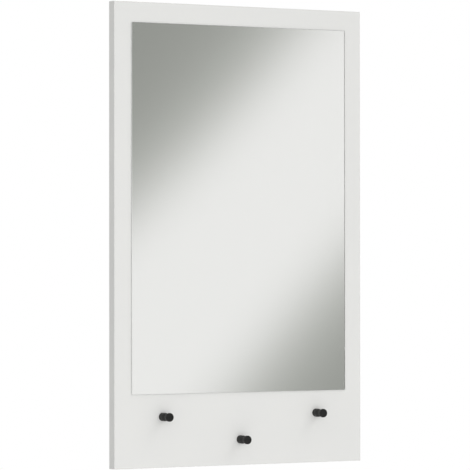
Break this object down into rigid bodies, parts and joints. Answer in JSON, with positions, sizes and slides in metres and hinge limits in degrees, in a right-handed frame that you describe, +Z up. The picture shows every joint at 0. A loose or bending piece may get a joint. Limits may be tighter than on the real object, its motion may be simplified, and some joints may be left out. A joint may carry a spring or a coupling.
{
  "type": "wall mirror with coat hooks",
  "caption": "Tall white wall panel with a frameless mirror on its front and short black turned knobs below it as coat hooks, hung by keyhole plates.",
  "frame": {"origin": "on the wall's face, midway between the entry holes of the two keyhole plates", "axes": "+Z up along the panel's height, +X to the right seen from the front, +Y into the wall"},
  "size_m": [0.6, 0.0555, 0.96],
  "materials": {
    "faced_board": "satin white melamine on both faces of chipboard",
    "edge_band": "satin white ABS edging",
    "mirror_glass": "polished clear float glass",
    "silvering": "silver with a grey protective paint behind",
    "foam_tape": "double-sided foam tape",
    "black_knob": "satin black coat",
    "zinc_steel": "bright zinc plate",
    "bumper_rubber": "matt grey rubber"
  },
  "bodies": {
    "root": {"backing_board": "faced_board", "edge_band_left": "edge_band", "edge_band_right": "edge_band", "edge_band_top": "edge_band", "edge_band_bottom": "edge_band", "mirror_glass": "mirror_glass", "mirror_silvering": "silvering", "mirror_tape_outer_left": "foam_tape", "mirror_tape_inner_left": "foam_tape", "mirror_tape_inner_right": "foam_tape", "mirror_tape_outer_right": "foam_tape", "hook_left": "black_knob", "hook_middle": "black_knob", "hook_right": "black_knob", "hook_screw_left": "zinc_steel", "hook_screw_middle": "zinc_steel", "hook_screw_right": "zinc_steel", "hook_washer_left": "zinc_steel", "hook_washer_middle": "zinc_steel", "hook_washer_right": "zinc_steel", "keyhole_plate_left": "zinc_steel", "keyhole_plate_right": "zinc_steel", "plate_screws_left": "zinc_steel", "plate_screws_right": "zinc_steel", "wall_bumper_left": "bumper_rubber", "wall_bumper_right": "bumper_rubber"}
  },
  "joints": []
}
